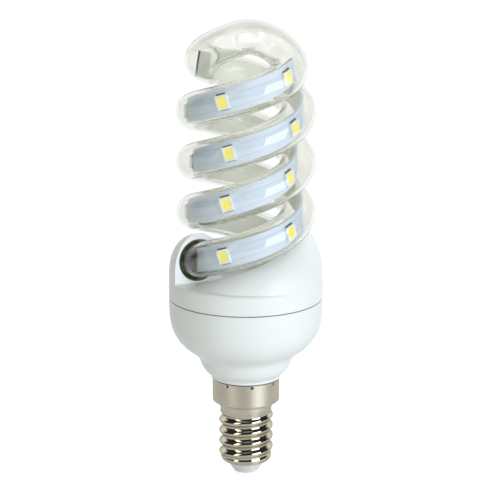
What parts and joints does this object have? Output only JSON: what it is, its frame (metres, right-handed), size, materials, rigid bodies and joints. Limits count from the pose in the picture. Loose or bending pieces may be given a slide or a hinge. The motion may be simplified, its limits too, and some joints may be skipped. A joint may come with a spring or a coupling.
{
  "type": "led spiral bulb",
  "caption": "Retrofit lamp with a clear two-start glass coil, a lit strip inside each strand, a white two-part housing with helical hoods and a small screw cap.",
  "frame": {"origin": "middle of the centre contact's end face, where the lamp meets the bottom of its holder", "axes": "+Z along the lamp's axis from the contact to the top of the coil, -Y towards the viewer of the picture"},
  "size_m": [0.039, 0.039, 0.1181],
  "materials": {
    "clear_glass": "clear polished",
    "strip_board": "pale blue-white solder mask",
    "led_package": "white moulded",
    "phosphor": "yellow phosphor in clear resin",
    "solder": "dull grey solder",
    "white_housing": "white moulded, satin",
    "nickel_shell": "nickel plated, satin skirt and bright thread",
    "insulator": "white moulded",
    "contact_metal": "plated contact",
    "board": "green solder mask",
    "can": "sleeved can",
    "ferrite": "sintered ferrite",
    "copper_wire": "enamelled copper",
    "black_package": "black moulded",
    "resistor_coat": "lacquered",
    "wire": "tinned copper",
    "cement": "white silicone"
  },
  "bodies": {
    "root": {"tube_strand_a": "clear_glass", "tube_strand_b": "clear_glass", "tube_bridge": "clear_glass", "led_strip_a": "strip_board", "led_strip_b": "strip_board", "led_bodies_a": "led_package", "led_bodies_b": "led_package", "led_phosphor_a": "phosphor", "led_phosphor_b": "phosphor", "led_solder_a": "solder", "led_solder_b": "solder", "upper_cover": "white_housing", "lower_housing": "white_housing", "screw_shell": "nickel_shell", "cap_insulator": "insulator", "centre_contact": "contact_metal", "driver_board": "board", "smoothing_capacitor": "can", "inductor_core": "ferrite", "inductor_winding": "copper_wire", "bridge_rectifier": "black_package", "driver_chip": "black_package", "fuse_resistor": "resistor_coat", "live_lead": "wire", "neutral_lead": "wire", "strip_leads_a": "wire", "strip_leads_b": "wire", "tube_cement": "cement"}
  },
  "joints": []
}
